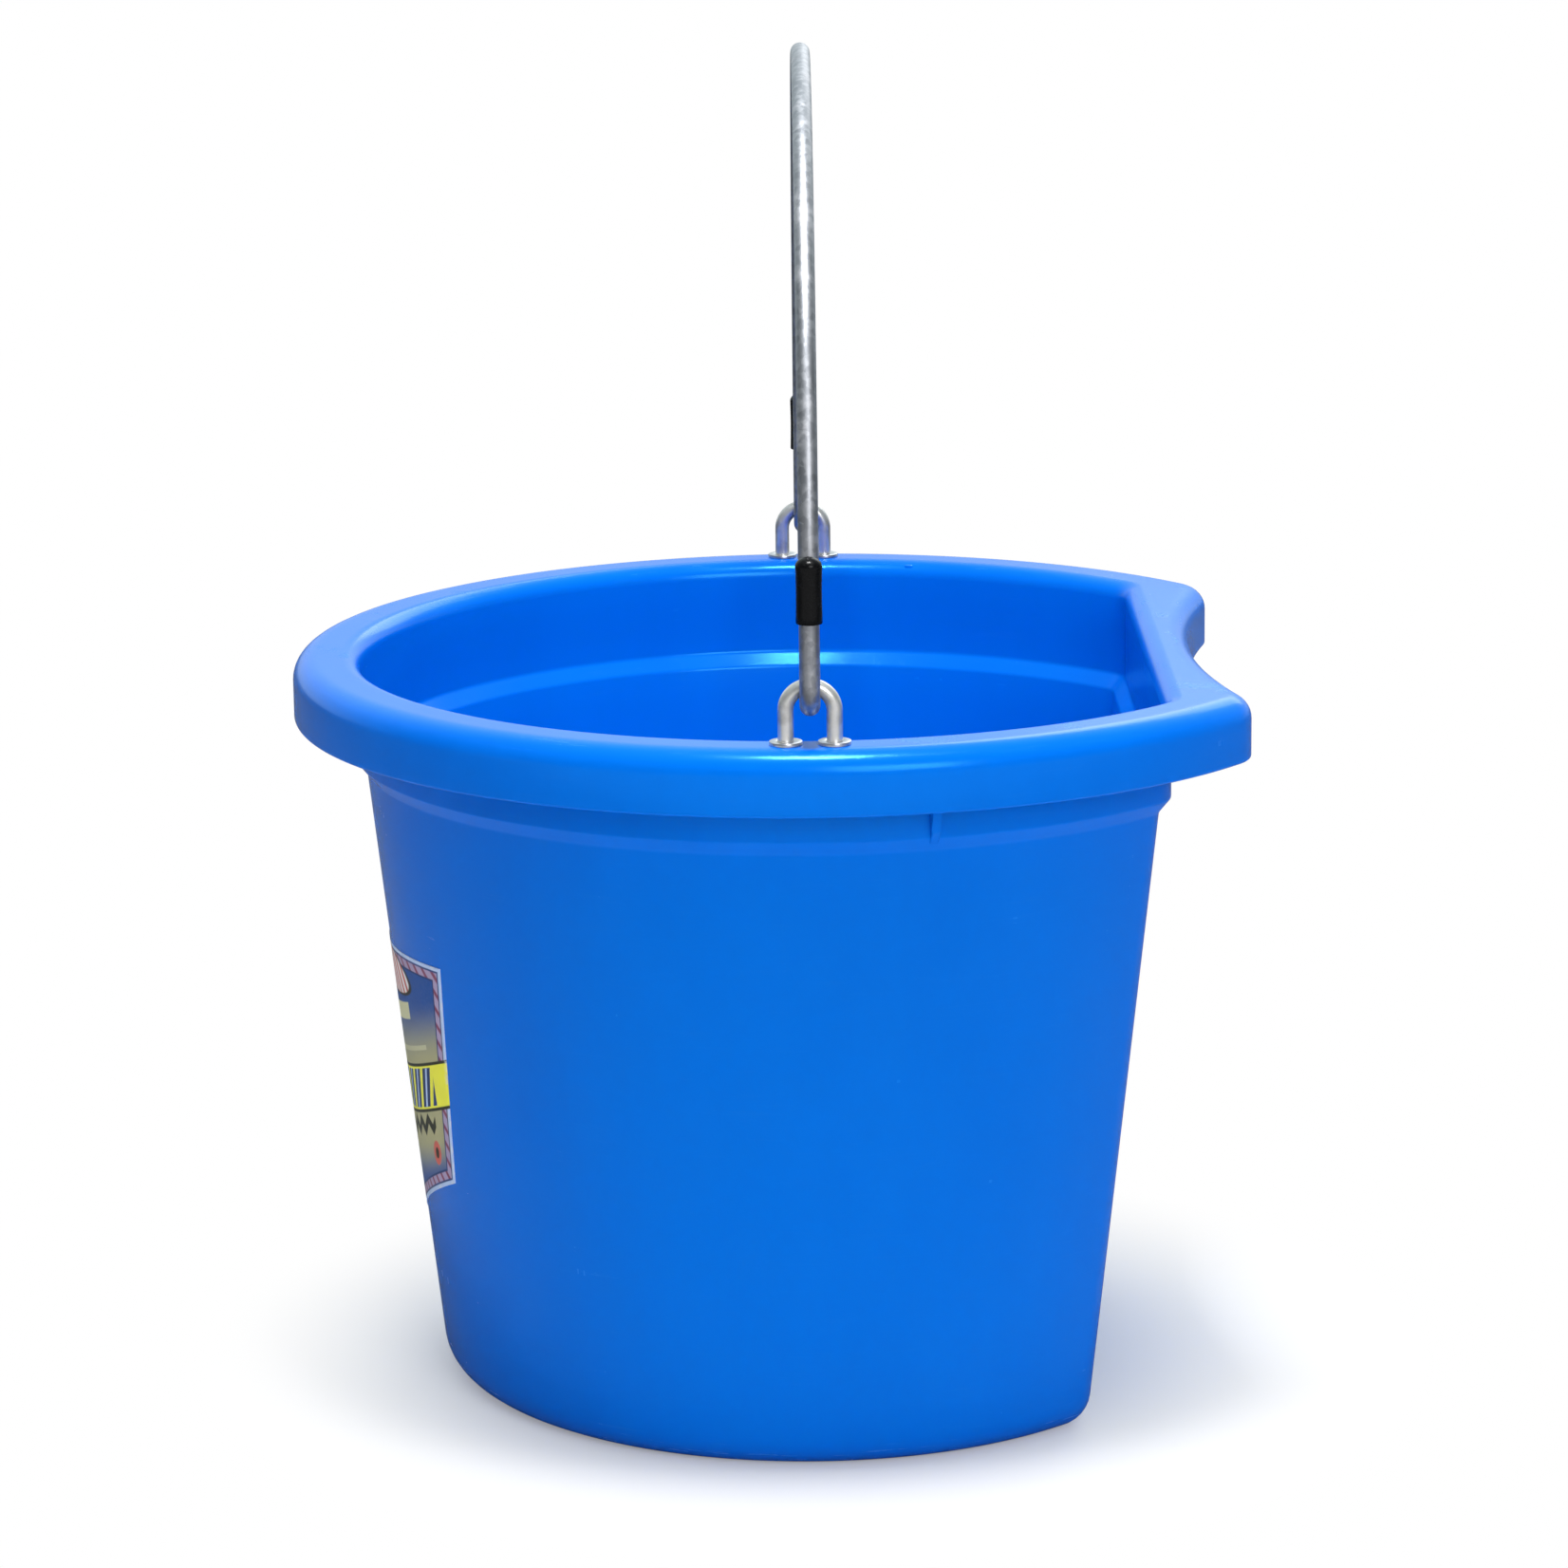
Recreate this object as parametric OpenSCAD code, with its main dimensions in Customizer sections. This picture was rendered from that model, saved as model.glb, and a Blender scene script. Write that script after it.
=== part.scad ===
// Flat-back feed bucket with a swinging wire bail.
// +Z up, origin on the round wall's axis at floor level, +X towards the flat back,
// -X towards the round front with the label. The bail swings about the Y direction.

/* [Bucket] */
// Height from the floor to the top of the rim
bucket_h = 288; // [200:1:400]
// Outer radius of the round wall at the floor
base_r = 146.5; // [120:0.5:152]
// Outer radius of the round wall just under the collar
neck_r = 172.5; // [158:0.5:190]
// How far the flat back stands inside the round outline
flat_inset = 42.5; // [20:0.5:70]
// Wall thickness
wall = 3; // [2:0.1:5]
// Radius of the outer edge round the bottom
foot_round = 14; // [4:0.5:20]
// Thickness of the floor
floor_t = 4; // [2:0.1:8]
// Depth of the recess under the floor
recess_h = 4; // [1:0.1:8]
// Width of the standing ring around the recess
ring_w = 10; // [4:0.5:20]
// Radius of the inner edge around the floor
floor_round = 11; // [3:0.5:20]

/* [Collar and rim] */
// Height of the straight collar under the rim's top
collar_h = 38.5; // [30:0.5:60]
// How far the collar stands out from the wall
collar_step = 4.5; // [2:0.5:10]
// Height of the slope from the wall out to the collar
collar_slope_h = 5.5; // [2:0.5:12]
// How far the rim reaches out past the collar
rim_reach = 23; // [20:0.5:34]
// Height of the rim's hanging skirt, from the top of the rim
skirt_h = 24; // [18:0.5:27]
// Radius of the rim's outer top edge
rim_round = 9; // [4:0.5:12]
// Radius of the rim's inner top edge
mouth_round = 7; // [2:0.5:9]
// How far the middle of the concave back rim stands inside the round rim
back_inset = 49.5; // [40:0.5:56]
// Radius of the concave back of the rim
back_curve_r = 400; // [250:5:900]
// Radius of the rim's two back corners
rim_corner_r = 22; // [14:1:30]

/* [Stiffening webs] */
// Angle from the flat back's direction round to each web
web_angle = 75.4; // [60:0.1:80]
// Thickness of each web
web_t = 3.5; // [2:0.1:6]
// How far a web's foot stands out from the collar
web_foot = 2.5; // [1:0.1:4]

/* [Eye bolts] */
// Diameter of the eye bolt's wire
eye_d = 5.8; // [4:0.1:7]
// Distance between the two legs of an eye bolt
eye_pitch = 17.5; // [16:0.5:24]
// Height of an eye bolt above the rim
eye_h = 24; // [21:0.5:34]
// How far the legs stand outside the collar
eye_offset = 8.5; // [7:0.5:12]
// Clearance round a leg in its hole
hole_gap = 0.2; // [0.1:0.05:0.6]
// Clearance between a nut or washer and the leg
thread_gap = 0.05; // [0.02:0.01:0.2]
// Diameter of the washers
washer_d = 12; // [10:0.5:13]
// Thickness of the washers
washer_t = 1.4; // [0.8:0.1:2]
// Width across the flats of the nuts
nut_flats = 10; // [8:0.5:11]
// Height of the nuts
nut_h = 5; // [3:0.5:6]
// Length of leg left showing below a nut
thread_end = 2.5; // [1:0.5:4]

/* [Bail] */
// Diameter of the bail's wire
bail_d = 7.4; // [5:0.1:8]
// Clearance between the bail's hook and the eye bolt
hook_gap = 0.35; // [0.3:0.05:1]
// Height of the bail's top above its pivot
bail_reach = 218; // [200:1:300]
// Height of the bare part of the hook's free end above the hook's bend
free_end_h = 24; // [12:1:40]
// Length of a cap
cap_l = 24; // [14:1:34]
// Diameter of a cap
cap_d = 9.6; // [9.2:0.1:11]
// Thickness of a cap's closed end
cap_end_t = 1.6; // [1:0.1:3]

/* [Label] */
// Thickness of the label
label_t = 0.3; // [0.2:0.05:0.6]
// Width of the label along its top edge
label_top_w = 176; // [100:1:200]
// Width of the label at its two lower corners
label_low_w = 148; // [80:1:180]
// Height of the label's top corners above the floor
label_top_z = 181; // [140:1:200]
// How far the middle of the top edge dips below its corners
label_dip = 7; // [0:1:12]
// Height of the two lower corners above the floor
label_low_z = 92; // [60:1:110]
// Height of the label's lowest point above the floor
label_tip_z = 59; // [30:1:80]

/* [Hidden] */
$fn = 96;
eps = 0.01;
far_out = 3 * neck_r;                       // larger than any radius of the bucket

collar_z = bucket_h - collar_h;             // lower edge of the straight collar
neck_z = collar_z - collar_slope_h;         // top of the tapered wall
taper = (neck_r - base_r) / neck_z;         // how much the wall widens with height
collar_r = neck_r + collar_step;
rim_r = collar_r + rim_reach;
deck_z = bucket_h - wall;                   // underside of the rim's flat top
skirt_z = bucket_h - skirt_h;
floor_z = recess_h + floor_t;
foot_face_r = base_r + taper * foot_round - foot_round;   // edge of the flat underside

// the rim's outline: a circle, a concave back arc and two corner arcs between them
back_c = rim_r - back_inset + back_curve_r; // centre of the concave arc, on the X axis
corner_c = rim_r - rim_corner_r;            // distance of a corner arc's centre from the origin
corner_x = (pow(corner_c, 2) - pow(back_curve_r + rim_corner_r, 2) + pow(back_c, 2)) / (2 * back_c);
corner_y = sqrt(pow(corner_c, 2) - pow(corner_x, 2));
round_end = atan2(corner_y, corner_x);      // where the circle meets a corner arc
back_end = atan2(corner_y, corner_x - back_c);   // where the concave arc meets a corner arc
corner_trim = 6;                            // the corner arcs stop this many degrees short

eye_y = collar_r + eye_offset;
eye_leg_x = eye_pitch / 2;
eye_bar_z = bucket_h + eye_h - eye_d / 2;   // centre of the wire at the top of an eye
nut_z = deck_z - washer_t - nut_h;          // underside of a nut
leg_end_z = nut_z - thread_end;

hook_r = (eye_d + bail_d) / 2 + hook_gap;   // the hook's bend, on the wire's centre line
pivot_z = eye_bar_z - hook_r;               // the bail turns about the bottom of its hooks
leg_y = eye_y - hook_r;                     // the bail's legs stand inside the eyes
free_y = eye_y + hook_r;                    // the free ends stand outside them
arch_z = pivot_z + bail_reach - bail_d / 2 - leg_y;   // centre of the round top
cap_z = eye_bar_z + free_end_h;             // lower edge of a cap
cap_top_z = cap_z + cap_l;

SIDES = [-1, 1];                            // right is -Y, left is +Y; front is -X, back is +X

function wall_r(z) = base_r + taper * z;
function arc(c, r, a0, a1, steps) =
    [for (i = [0 : steps]) let (a = a0 + (a1 - a0) * i / steps) c + r * [cos(a), sin(a)]];

// half section of the outside, from the floor up into the rim
function outer_profile() = concat(
    arc([foot_face_r, foot_round], foot_round, -90, 0, 6),
    [[neck_r, neck_z], [collar_r, collar_z], [collar_r, bucket_h - wall / 2]]
);

// half section of the inside, cut out of it
function inner_profile() = concat(
    [[wall_r(floor_z + floor_round) - wall - floor_round, floor_z]],
    arc([wall_r(floor_z + floor_round) - wall - floor_round, floor_z + floor_round],
        floor_round, -75, 0, 5),
    [[neck_r - wall, neck_z], [collar_r - wall, collar_z]],
    arc([collar_r - wall + mouth_round, bucket_h - mouth_round], mouth_round, 180, 90, 6),
    [[collar_r - wall + mouth_round, bucket_h + eps]]
);

// a half section turned about the axis, then cut off by the same section at the flat back
module flat_back_form(profile) {
    low = profile[0][1];
    high = profile[len(profile) - 1][1];
    intersection() {
        rotate_extrude() polygon(concat([[0, low]], profile, [[0, high]]));
        rotate([90, 0, 0])
            linear_extrude(2 * far_out, center = true)
                polygon(concat(
                    [[-far_out, low]],
                    [for (p = profile) [p[0] - flat_inset, p[1]]],
                    [[-far_out, high]]
                ));
    }
}

// a disc with a rounded top edge
module rounded_disc(r, low, high, edge_r) {
    rotate_extrude()
        polygon(concat([[0, low], [r, low]], arc([r - edge_r, high - edge_r], edge_r, 0, 90, 6), [[0, high]]));
}

// what lies outside a rounded back corner, between the ends of its arc
module corner_offcut(r, low, high, edge_r) {
    difference() {
        translate([0, 0, low - 1])
            linear_extrude(high - low + 2)
                polygon([
                    [0, 0],
                    for (a = [back_end - 180 + corner_trim, (round_end + back_end - 180) / 2,
                              round_end - corner_trim]) 3 * rim_corner_r * [cos(a), sin(a)]
                ]);
        rounded_disc(r, low - 2, high, edge_r);
    }
}

// the rim as a solid lid with a rounded edge, every face moved inwards by d
module rim_form(d) {
    low = skirt_z - d;
    high = bucket_h - d;
    edge_r = rim_round - d;
    difference() {
        rounded_disc(rim_r - d, low, high, edge_r);
        translate([back_c, 0, 0])
            rotate_extrude()
                polygon(concat(
                    [[0, low - 1], [back_curve_r + d, low - 1]],
                    arc([back_curve_r + d + edge_r, high - edge_r], edge_r, 180, 90, 6),
                    [[back_curve_r + d + edge_r, high + 1], [0, high + 1]]
                ));
        for (s = SIDES)
            mirror([0, s < 0 ? 1 : 0, 0])
                translate([corner_x, corner_y, 0])
                    corner_offcut(rim_corner_r - d, low, high, edge_r);
    }
}

module web() {
    rotate([90, 0, 0])
        linear_extrude(web_t, center = true)
            polygon([
                [collar_r - wall / 2, collar_z - collar_slope_h / 2],
                [collar_r + web_foot, collar_z + web_foot],
                [collar_r + 2 * web_foot, skirt_z],
                [rim_r - wall / 2, skirt_z + 2 * web_foot],
                [rim_r - wall / 2, deck_z - rim_round / 2],
                [rim_r - rim_round, deck_z + wall / 2],
                [collar_r - wall / 2, deck_z + wall / 2]
            ]);
}

module bucket_body() {
    color("dodgerblue")
        difference() {
            union() {
                flat_back_form(outer_profile());
                difference() {
                    rim_form(0);
                    rim_form(wall);
                }
                for (s = SIDES) rotate([0, 0, s * web_angle]) web();
            }
            flat_back_form(inner_profile());
            translate([0, 0, -eps])
                linear_extrude(recess_h + eps)
                    intersection() {
                        circle(r = foot_face_r - ring_w);
                        translate([-far_out, -far_out / 2])
                            square([far_out + foot_face_r - ring_w - flat_inset, far_out]);
                    }
            for (x = SIDES, y = SIDES)
                translate([x * eye_leg_x, y * eye_y, skirt_z])
                    cylinder(d = eye_d + 2 * hole_gap, h = skirt_h + 1);
        }
}

module front_label() {
    color("gold")
        intersection() {
            difference() {
                cylinder(r1 = base_r + label_t, r2 = neck_r + label_t, h = neck_z);
                translate([0, 0, -eps])
                    cylinder(r1 = wall_r(-eps), r2 = wall_r(neck_z + eps), h = neck_z + 2 * eps);
            }
            translate([-far_out, 0, 0])
                rotate([90, 0, 90])
                    linear_extrude(far_out)
                        polygon([
                            [-label_top_w / 2, label_top_z], [-label_low_w / 2, label_low_z],
                            [0, label_tip_z],
                            [label_low_w / 2, label_low_z], [label_top_w / 2, label_top_z],
                            [0, label_top_z - label_dip]
                        ]);
        }
}

// a half ring of wire standing in the plane across X, open below
module wire_bow(bow_r, wire_d) {
    rotate([90, 0, 0])
        rotate_extrude(angle = 180) translate([bow_r, 0]) circle(d = wire_d);
}

module eye_bolt(side) {
    color("silver")
        translate([0, side * eye_y, 0]) {
            translate([0, 0, eye_bar_z - eye_leg_x]) wire_bow(eye_leg_x, eye_d);
            for (x = SIDES)
                translate([x * eye_leg_x, 0, leg_end_z])
                    cylinder(d = eye_d, h = eye_bar_z - eye_leg_x - leg_end_z);
        }
}

module washer(x, y, z) {
    color("gainsboro")
        translate([x * eye_leg_x, y * eye_y, z])
            difference() {
                cylinder(d = washer_d, h = washer_t);
                translate([0, 0, -1]) cylinder(d = eye_d + 2 * thread_gap, h = washer_t + 2);
            }
}

module eye_nut(x, y) {
    corner_d = nut_flats / cos(30);
    bevel = (corner_d - nut_flats) / 2;
    color("lightgray")
        translate([x * eye_leg_x, y * eye_y, nut_z])
            difference() {
                intersection() {
                    cylinder(d = corner_d, h = nut_h, $fn = 6);
                    cylinder(d1 = nut_flats, d2 = nut_flats + 4 * nut_h, h = nut_h);
                }
                translate([0, 0, -1]) cylinder(d = eye_d + 2 * thread_gap, h = nut_h + 2);
                translate([0, 0, -eps])
                    cylinder(d1 = eye_d + bevel, d2 = eye_d, h = bevel / 2);
            }
}

module bail_end(side) {
    mirror([0, side < 0 ? 1 : 0, 0]) {
        translate([0, leg_y, eye_bar_z]) cylinder(d = bail_d, h = arch_z - eye_bar_z);
        translate([0, eye_y, eye_bar_z])
            rotate([180, 0, 90]) wire_bow(hook_r, bail_d);
        translate([0, free_y, eye_bar_z])
            cylinder(d = bail_d, h = cap_top_z - cap_end_t - eye_bar_z);
    }
}

module bail() {
    color("darkgray")
        union() {
            translate([0, 0, arch_z]) rotate([0, 0, 90]) wire_bow(leg_y, bail_d);
            for (s = SIDES) bail_end(s);
        }
}

module bail_cap(side) {
    dome_r = cap_d / 2;
    color("black")
        translate([0, side * free_y, cap_z])
            rotate_extrude()
                polygon(concat(
                    [[bail_d / 2, 0], [dome_r, 0]],
                    arc([0, cap_l - 0.75 * dome_r], dome_r, 0, 48, 6),
                    [[0, cap_l], [0, cap_l - cap_end_t], [bail_d / 2, cap_l - cap_end_t]]
                ));
}

bucket_body();
front_label();
eye_bolt(-1);  // eye_bolt_right
eye_bolt(1);  // eye_bolt_left
washer(-1, -1, bucket_h);  // top_washer_right_front
washer(1, -1, bucket_h);  // top_washer_right_back
washer(-1, 1, bucket_h);  // top_washer_left_front
washer(1, 1, bucket_h);  // top_washer_left_back
washer(-1, -1, deck_z - washer_t);  // under_washer_right_front
washer(1, -1, deck_z - washer_t);  // under_washer_right_back
washer(-1, 1, deck_z - washer_t);  // under_washer_left_front
washer(1, 1, deck_z - washer_t);  // under_washer_left_back
eye_nut(-1, -1);  // eye_nut_right_front
eye_nut(1, -1);  // eye_nut_right_back
eye_nut(-1, 1);  // eye_nut_left_front
eye_nut(1, 1);  // eye_nut_left_back
bail();
bail_cap(-1);  // bail_cap_right
bail_cap(1);  // bail_cap_left
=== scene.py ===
import math

import bmesh
import bpy
from mathutils import Matrix, Vector


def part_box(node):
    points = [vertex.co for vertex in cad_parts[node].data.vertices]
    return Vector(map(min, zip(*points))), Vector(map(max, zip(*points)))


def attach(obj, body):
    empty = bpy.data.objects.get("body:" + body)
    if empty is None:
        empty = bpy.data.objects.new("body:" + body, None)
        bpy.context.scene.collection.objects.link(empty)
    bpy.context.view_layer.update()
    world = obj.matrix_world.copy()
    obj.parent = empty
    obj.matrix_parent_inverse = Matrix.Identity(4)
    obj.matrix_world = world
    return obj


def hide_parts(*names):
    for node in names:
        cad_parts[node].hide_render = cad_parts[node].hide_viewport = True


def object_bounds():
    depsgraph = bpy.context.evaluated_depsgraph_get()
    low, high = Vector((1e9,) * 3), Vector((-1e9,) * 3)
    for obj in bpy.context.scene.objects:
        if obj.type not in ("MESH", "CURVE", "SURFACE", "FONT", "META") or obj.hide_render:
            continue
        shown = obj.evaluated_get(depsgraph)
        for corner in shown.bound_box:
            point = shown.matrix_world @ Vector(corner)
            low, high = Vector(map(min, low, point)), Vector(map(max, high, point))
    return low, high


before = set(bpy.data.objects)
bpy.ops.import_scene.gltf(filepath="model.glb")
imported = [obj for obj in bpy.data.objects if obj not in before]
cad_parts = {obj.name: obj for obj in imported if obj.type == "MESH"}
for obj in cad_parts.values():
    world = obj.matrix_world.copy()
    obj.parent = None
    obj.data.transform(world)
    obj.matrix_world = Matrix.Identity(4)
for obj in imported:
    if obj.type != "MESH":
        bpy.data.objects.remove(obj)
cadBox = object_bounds()  # the solid model's own box, before any piece stands in for a node
mm = 0.001
pi = math.pi


class Signal:
    # one socket of a node tree; arithmetic on it adds Math nodes
    def __init__(self, tree, socket=None):
        self.tree = tree
        self.socket = socket

    def node(self, kind, settings=None, sockets=None, output=0):
        # any node: its type, its settings, then the values or links of its sockets
        made = self.tree.nodes.new(kind)
        for name, value in (settings or {}).items():
            setattr(made, name, value)
        for name, value in (sockets or {}).items():
            if isinstance(value, Signal):
                self.tree.links.new(value.socket, made.inputs[name])
            else:
                made.inputs[name].default_value = value
        return Signal(self.tree, made.outputs[output])

    def maths(self, operation, *values):
        return self.node("ShaderNodeMath", {"operation": operation}, dict(enumerate(values)))

    def __add__(self, other):
        return self.maths("ADD", self, other)

    def __radd__(self, other):
        return self.maths("ADD", other, self)

    def __sub__(self, other):
        return self.maths("SUBTRACT", self, other)

    def __rsub__(self, other):
        return self.maths("SUBTRACT", other, self)

    def __mul__(self, other):
        return self.maths("MULTIPLY", self, other)

    def __rmul__(self, other):
        return self.maths("MULTIPLY", other, self)

    def __truediv__(self, other):
        return self.maths("DIVIDE", self, other)

    def ramp(self, low, high):
        # 0 below low and 1 above high, with a smooth step between
        return self.node("ShaderNodeMapRange", {"interpolation_type": "SMOOTHSTEP"},
                         {"Value": self, "From Min": low, "From Max": high})

    def blend(self, under, over):
        # the colour under where this signal is 0, and over where it is 1
        return self.node("ShaderNodeMix", {"data_type": "RGBA"},
                         {0: self, 6: under, 7: over}, output=2)


def newMaterial(name, constants):
    # a material with its fixed values set on the shader's own sockets
    material = bpy.data.materials.new(name)
    material.use_nodes = True
    shader = material.node_tree.nodes["Principled BSDF"]
    for socket, value in constants.items():
        shader.inputs[socket].default_value = value
    start = Signal(material.node_tree)
    place = start.node("ShaderNodeTexCoord", output=3)
    return material, shader, start, place


def feed(shader, colour, roughness, normal=None):
    # gives the shader what varies over the surface
    links = shader.id_data.links
    links.new(colour.socket, shader.inputs["Base Color"])
    links.new(roughness.socket, shader.inputs["Roughness"])
    if normal:
        links.new(normal.socket, shader.inputs["Normal"])


def noise(start, place, scale, detail=3.0, roughness=0.5, stretch=(1, 1, 1), shift=(0, 0, 0)):
    stretched = start.node("ShaderNodeMapping",
                           sockets={"Vector": place, "Scale": stretch, "Location": shift})
    return start.node("ShaderNodeTexNoise", sockets={
        "Vector": stretched, "Scale": scale, "Detail": detail, "Roughness": roughness})


def bumped(start, height, strength, distance):
    return start.node("ShaderNodeBump",
                      sockets={"Height": height, "Strength": strength, "Distance": distance})


def meshFrom(name, points, faces):
    mesh = bpy.data.meshes.new(name)
    mesh.from_pydata(points, [], faces)
    mesh.validate()
    return mesh


def pieceFrom(name, mesh, sharpAngle=38):
    # a finished mesh as an object, smooth except where it turns by more than the sharp angle
    mesh.name = name
    for polygon in mesh.polygons:
        polygon.use_smooth = True
    mesh.set_sharp_from_angle(angle=math.radians(sharpAngle))
    piece = bpy.data.objects.new(name, mesh)
    bpy.context.scene.collection.objects.link(piece)
    return piece


def meshPiece(name, points, faces, material):
    mesh = meshFrom(name, points, faces)
    mesh.materials.append(material)
    return pieceFrom(name, mesh)


def joined(name, meshes, material, sharpAngle=38):
    # several meshes as one, each with its normals outwards
    form = bmesh.new()
    for mesh in meshes:
        form.from_mesh(mesh)
    bmesh.ops.recalc_face_normals(form, faces=form.faces)
    whole = bpy.data.meshes.new(name)
    form.to_mesh(whole)
    form.free()
    whole.materials.append(material)
    return pieceFrom(name, whole, sharpAngle)


def ringFaces(count, levels, closed=False):
    # quads between rings of count points each; closed joins the last ring to the first
    faces = []
    for level in range(levels if closed else levels - 1):
        low = level * count
        high = (level + 1) % levels * count
        for i in range(count):
            j = (i + 1) % count
            faces.append((low + i, low + j, high + j, high + i))
    return faces


def arcPoints(centre, radius, start, end, steps):
    # points along an arc, without its last one
    turns = [start + (end - start) * i / steps for i in range(steps)]
    return [(centre[0] + radius * math.cos(turn), centre[1] + radius * math.sin(turn))
            for turn in turns]


def filleted(corners, arcSteps=6, longest=14.0):
    # a path through (across, up, radius) corners, with each rounded and long runs divided;
    # lengths are in millimetres
    path = [Vector(corners[0][:2])]
    for before, here, after in zip(corners, corners[1:], corners[2:]):
        corner = Vector(here[:2])
        back = (Vector(before[:2]) - corner).normalized()
        ahead = (Vector(after[:2]) - corner).normalized()
        half = back.angle(ahead) / 2
        reach = here[2] / math.tan(half)
        middle = corner + (back + ahead).normalized() * here[2] / math.sin(half)
        first = corner + back * reach - middle
        last = corner + ahead * reach - middle
        sweep = first.angle_signed(last)
        steps = max(3, round(abs(sweep) / (pi / 2) * arcSteps))
        for i in range(steps + 1):
            turn = -sweep * i / steps
            path.append(middle + Vector((first.x * math.cos(turn) - first.y * math.sin(turn),
                                         first.x * math.sin(turn) + first.y * math.cos(turn))))
    path.append(Vector(corners[-1][:2]))
    divided = [path[0]]
    for point in path[1:]:
        last = divided[-1]
        parts = max(1, math.ceil((point - last).length / longest))
        divided += [last.lerp(point, (i + 1) / parts) for i in range(parts)]
    return divided


class Pattern:
    # a Geometry Nodes tree with named inputs, run once and turned into a plain mesh
    def __init__(self, name, inputs):
        self.name = name
        self.tree = bpy.data.node_groups.new(name, "GeometryNodeTree")
        for way in ("INPUT", "OUTPUT"):
            self.tree.interface.new_socket("Geometry", in_out=way, socket_type="NodeSocketGeometry")
        self.values = {}
        for label, (kind, value) in inputs.items():
            item = self.tree.interface.new_socket(label, in_out="INPUT", socket_type=kind)
            self.values[item.identifier] = value
        self.entry = self.tree.nodes.new("NodeGroupInput")
        self.start = Signal(self.tree)

    def value(self, label):
        return Signal(self.tree, self.entry.outputs[label])

    def run(self, geometry, material, source=None):
        # ends the tree with Realize Instances and Set Material, then applies it
        whole = self.start.node("GeometryNodeRealizeInstances", sockets={0: geometry})
        whole = self.start.node("GeometryNodeSetMaterial",
                                sockets={"Geometry": whole, "Material": material})
        leave = self.tree.nodes.new("NodeGroupOutput")
        self.tree.links.new(whole.socket, leave.inputs["Geometry"])
        mesh = source or bpy.data.meshes.new(self.name + "Start")
        holder = bpy.data.objects.new(self.name + "Holder", mesh)
        bpy.context.scene.collection.objects.link(holder)
        modifier = holder.modifiers.new(self.name, "NODES")
        modifier.node_group = self.tree
        for identifier, value in self.values.items():
            modifier[identifier] = value
        bpy.context.view_layer.update()
        graph = bpy.context.evaluated_depsgraph_get()
        made = bpy.data.meshes.new_from_object(holder.evaluated_get(graph))
        bpy.data.objects.remove(holder)
        return made


print("helpers ready")


plasticLook = {
    "colour": (0.0, 0.148, 0.72, 1),      # clear bright blue
    "shade": (0.0, 0.132, 0.67, 1),       # the slightly deeper flow marks
    "rubbed": (0.03, 0.20, 0.72, 1),      # where edges are scuffed
    "shine": (0.12, 0.85, 1.0, 1),        # the highlights come back tinted by the dye
    "roughness": 0.18,
    "wornFoot": (2, 16),                  # millimetres up, where the foot's wear fades out
    "wornTop": (284, 288),                # and where the wear on the rim begins
}


def makeBluePlastic():
    material, shader, start, place = newMaterial("bluePlastic", {
        "Specular IOR Level": 0.5, "Specular Tint": plasticLook["shine"], "IOR": 1.45})
    height = start.node("ShaderNodeSeparateXYZ", sockets={"Vector": place}, output=2) * (1 / mm)
    flow = noise(start, place, 7, detail=5, roughness=0.6, stretch=(1, 1, 0.35))
    cloud = noise(start, place, 26, detail=4)
    colour = flow.ramp(0.35, 0.75).blend(plasticLook["colour"], plasticLook["shade"])
    # scuffs: long thin marks round the wall, more of them at the foot and on top of the rim
    thin = noise(start, place, 30, detail=6, roughness=0.7, stretch=(1, 1, 22))
    foot = 1 - height.ramp(*plasticLook["wornFoot"])
    top = height.ramp(*plasticLook["wornTop"])
    worn = (foot * 0.9 + top * 0.6 + 0.12) * thin.ramp(0.56, 0.66)
    colour = (worn * 0.35).blend(colour, plasticLook["rubbed"])
    # fine scratches, some upright and some level
    scratch = noise(start, place, 240, detail=2, stretch=(1, 1, 0.025)).ramp(0.66, 0.70)
    across = noise(start, place, 210, detail=2, stretch=(0.04, 0.04, 1), shift=(3, 1, 2))
    marks = scratch * 0.5 + across.ramp(0.68, 0.72) * 0.5
    roughness = plasticLook["roughness"] + cloud * 0.05 + worn * 0.16 + marks * 0.10
    peel = noise(start, place, 420, detail=1)
    sag = noise(start, place, 18, detail=1)
    relief = peel * 0.35 + sag * 2.2 - marks * 0.25 - worn * 0.3
    feed(shader, colour, roughness, bumped(start, relief, 0.16, 0.35 * mm))
    return material


wireLook = {
    "light": (0.50, 0.51, 0.54, 1),
    "dark": (0.33, 0.34, 0.37, 1),
    "bloom": (0.60, 0.60, 0.63, 1),       # chalky patches of weathered zinc
    "roughness": 0.42,
}


def makeGalvanised():
    material, shader, start, place = newMaterial("galvanisedWire", {"Metallic": 1.0})
    spangle = start.node("ShaderNodeTexVoronoi", {"feature": "F1"},
                         {"Vector": place, "Scale": 420.0}, output=1)
    grain = start.node("ShaderNodeSeparateColor", sockets={"Color": spangle})
    drawn = noise(start, place, 900, detail=3, stretch=(1, 1, 0.03))
    bloom = noise(start, place, 90, detail=5, roughness=0.65)
    tone = grain * 0.45 + drawn * 0.55
    colour = tone.ramp(0.15, 0.9).blend(wireLook["dark"], wireLook["light"])
    colour = bloom.ramp(0.52, 0.72).blend(colour, wireLook["bloom"])
    roughness = wireLook["roughness"] + bloom.ramp(0.45, 0.75) * 0.16 + grain * 0.06
    relief = drawn * 0.6 + bloom * 0.8
    feed(shader, colour, roughness, bumped(start, relief, 0.35, 0.06 * mm))
    return material


eyeLook = {"colour": (0.78, 0.77, 0.75, 1), "dull": (0.54, 0.53, 0.51, 1), "roughness": 0.30}


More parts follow.
